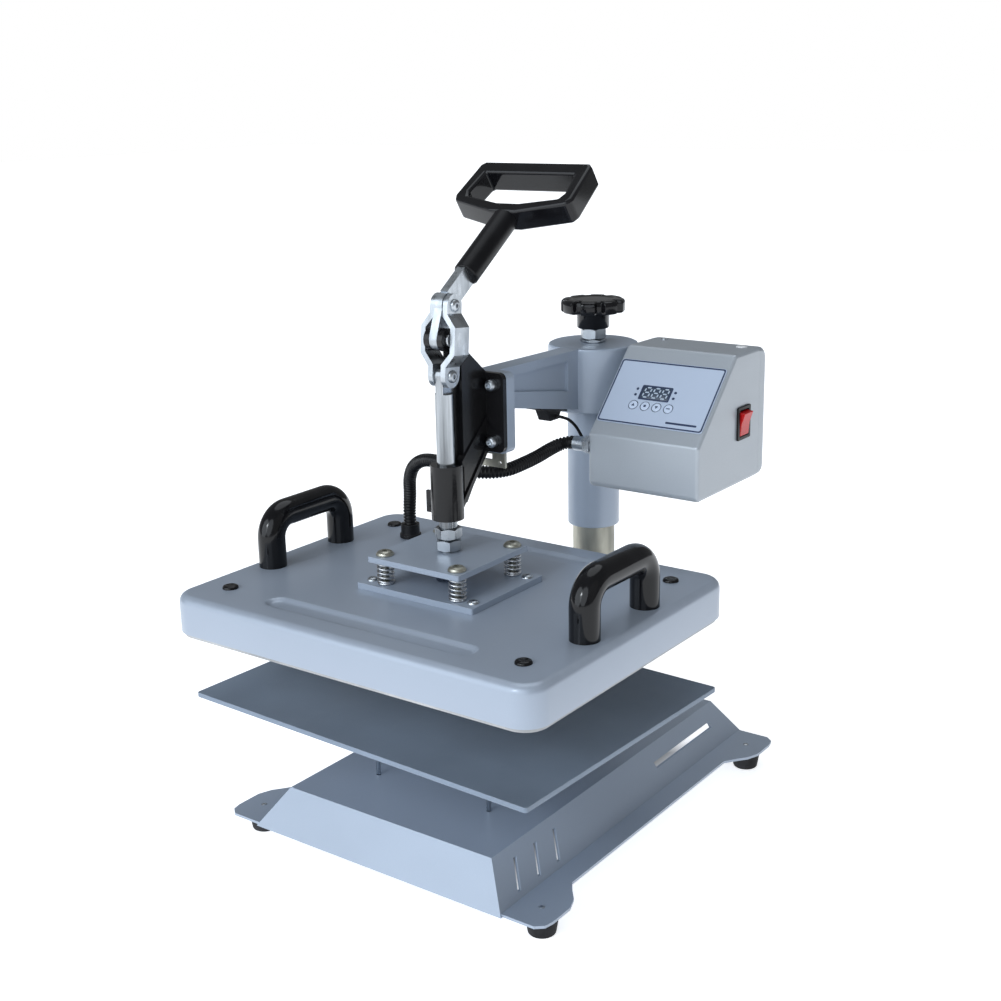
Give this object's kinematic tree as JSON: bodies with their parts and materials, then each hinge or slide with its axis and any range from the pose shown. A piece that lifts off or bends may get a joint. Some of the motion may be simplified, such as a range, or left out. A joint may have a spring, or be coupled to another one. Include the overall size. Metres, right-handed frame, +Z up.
{
  "type": "heat press",
  "caption": "Swing-away flat heat press: sheet base with lower platen, column with swinging arm, toggle lever, sprung heating head, side grips and digital control box.",
  "frame": {"origin": "centre of the footprint box, on the surface that the feet stand on", "axes": "+X to the operator's right, +Y from the operator towards the column, +Z up"},
  "size_m": [0.394, 0.46, 0.6071],
  "materials": {
    "silver_paint": "satin silver-blue enamel",
    "cover_paint": "satin silver-blue enamel",
    "box_paint": "satin silver enamel",
    "platen_paint": "matt blue-grey coating",
    "bright_zinc": "bright zinc plate",
    "worn_zinc": "dull yellowish zinc plate",
    "polished_steel": "ground and polished",
    "spring_steel": "zinc-plated wire",
    "black_paint": "gloss black enamel",
    "gloss_black": "gloss moulded",
    "grip_black": "soft satin sleeve",
    "black_plastic": "satin moulded",
    "conduit_plastic": "corrugated, satin",
    "wire_jacket": "satin",
    "rubber": "matt",
    "bronze": "turned",
    "overlay_film": "satin printed film",
    "key_film": "satin printed film",
    "display": "smoked window",
    "circuit_board": "solder mask",
    "core_iron": "varnished",
    "cast_aluminium": "cast, lightly ground",
    "mat_fibre": "felted fibre",
    "switch_red": "gloss moulded"
  },
  "bodies": {
    "base": {"base_shell": "silver_paint", "base_feet": "rubber", "foot_screws": "bright_zinc", "column_flange": "silver_paint", "column_tube": "worn_zinc", "column_bolts": "bright_zinc", "column_nut": "worn_zinc", "lower_platen": "platen_paint", "platen_studs": "bright_zinc", "stud_nuts": "bright_zinc"},
    "column_guide": {"guide_bushes": "bronze"},
    "arm": {"arm_casting": "silver_paint", "arm_sleeve": "silver_paint", "toggle_frame": "black_paint", "frame_bolts": "bright_zinc", "clip_plate": "worn_zinc", "fulcrum_pin": "bright_zinc", "box_shell": "box_paint", "box_back": "box_paint", "box_bracket": "black_paint", "box_screws": "bright_zinc", "overlay_panel": "overlay_film", "display_module": "display", "control_board": "circuit_board", "transformer": "core_iron", "power_relay": "black_plastic", "cord_gland": "black_plastic", "switch_bezel": "black_plastic", "lever_sensor": "black_plastic", "sensor_wire": "wire_jacket", "conduit_fitting": "bright_zinc", "conduit": "conduit_plastic"},
    "knob": {"adjust_knob": "gloss_black", "adjust_screw": "bright_zinc"},
    "lever": {"lever_bar": "bright_zinc", "lever_grip": "grip_black", "d_handle": "gloss_black", "lever_pin": "bright_zinc"},
    "links": {"link_straps": "bright_zinc", "link_rivets": "bright_zinc"},
    "press": {"press_rod": "polished_steel", "rod_nuts": "bright_zinc", "pressure_plate": "silver_paint"},
    "head": {"spring_plate": "silver_paint", "plate_screws": "bright_zinc", "spring_bolts": "bright_zinc", "head_springs": "spring_steel", "heat_cover": "cover_paint", "cover_caps": "gloss_black", "side_handles": "gloss_black", "handle_screws": "bright_zinc", "heat_platen": "cast_aluminium", "heater_element": "core_iron", "insulation_mat": "mat_fibre", "head_gland": "black_plastic"},
    "rocker": {"rocker_button": "switch_red"},
    "up_key": {"key_up": "key_film"},
    "set_key": {"key_set": "key_film"},
    "down_key": {"key_down": "key_film"},
    "ok_key": {"key_ok": "key_film"}
  },
  "joints": [
    {"name": "height_adjust", "type": "slide", "parent": "base", "child": "column_guide", "axis": [0, 0, 1], "range_m": [-0.0048, 0.008]},
    {"name": "arm_swing", "type": "hinge", "parent": "column_guide", "child": "arm", "pos_m": [0, 0.1634, 0.3205], "axis": [0, 0, 1], "range_deg": [-100, 100]},
    {"name": "knob_turn", "type": "hinge", "parent": "arm", "child": "knob", "pos_m": [0, 0.1634, 0.4505], "axis": [0, 0, 1], "range_deg": [-866, 1442]},
    {"name": "lever_turn", "type": "hinge", "parent": "arm", "child": "lever", "pos_m": [0, -0.079, 0.468], "axis": [1, 0, 0], "range_deg": [0, 202.2]},
    {"name": "link_swing", "type": "hinge", "parent": "lever", "child": "links", "pos_m": [0, -0.069, 0.496], "axis": [1, 0, 0], "range_deg": [-194.34, 0.4]},
    {"name": "press_slide", "type": "slide", "parent": "arm", "child": "press", "axis": [0, 0, -1], "range_m": [-0.0001, 0.05804], "deforming": ["conduit"]},
    {"name": "head_float", "type": "slide", "parent": "press", "child": "head", "axis": [0, 0, 1], "range_m": [0, 0.006], "stiffness_N_per_m": 16000, "springref_m": -0.004, "deforming": ["head_springs"]},
    {"name": "rocker_tip", "type": "hinge", "parent": "arm", "child": "rocker", "pos_m": [0.166, 0.161, 0.368], "axis": [0, -1, 0], "range_deg": [0, 24]},
    {"name": "up_press", "type": "slide", "parent": "arm", "child": "up_key", "axis": [0, 0.7198, -0.6941], "range_m": [0, 0.0004], "stiffness_N_per_m": 600},
    {"name": "set_press", "type": "slide", "parent": "arm", "child": "set_key", "axis": [0, 0.7198, -0.6941], "range_m": [0, 0.0004], "stiffness_N_per_m": 600},
    {"name": "down_press", "type": "slide", "parent": "arm", "child": "down_key", "axis": [0, 0.7198, -0.6941], "range_m": [0, 0.0004], "stiffness_N_per_m": 600},
    {"name": "ok_press", "type": "slide", "parent": "arm", "child": "ok_key", "axis": [0, 0.7198, -0.6941], "range_m": [0, 0.0004], "stiffness_N_per_m": 600}
  ],
  "couplings": [
    {"joint": "knob_turn", "follows": "height_adjust", "rad_per_m": 3141.6},
    {"joint": "link_swing", "follows": "lever_turn", "ratio": -0.95916},
    {"joint": "press_slide", "follows": "lever_turn", "m_per_rad": 0.016419}
  ]
}
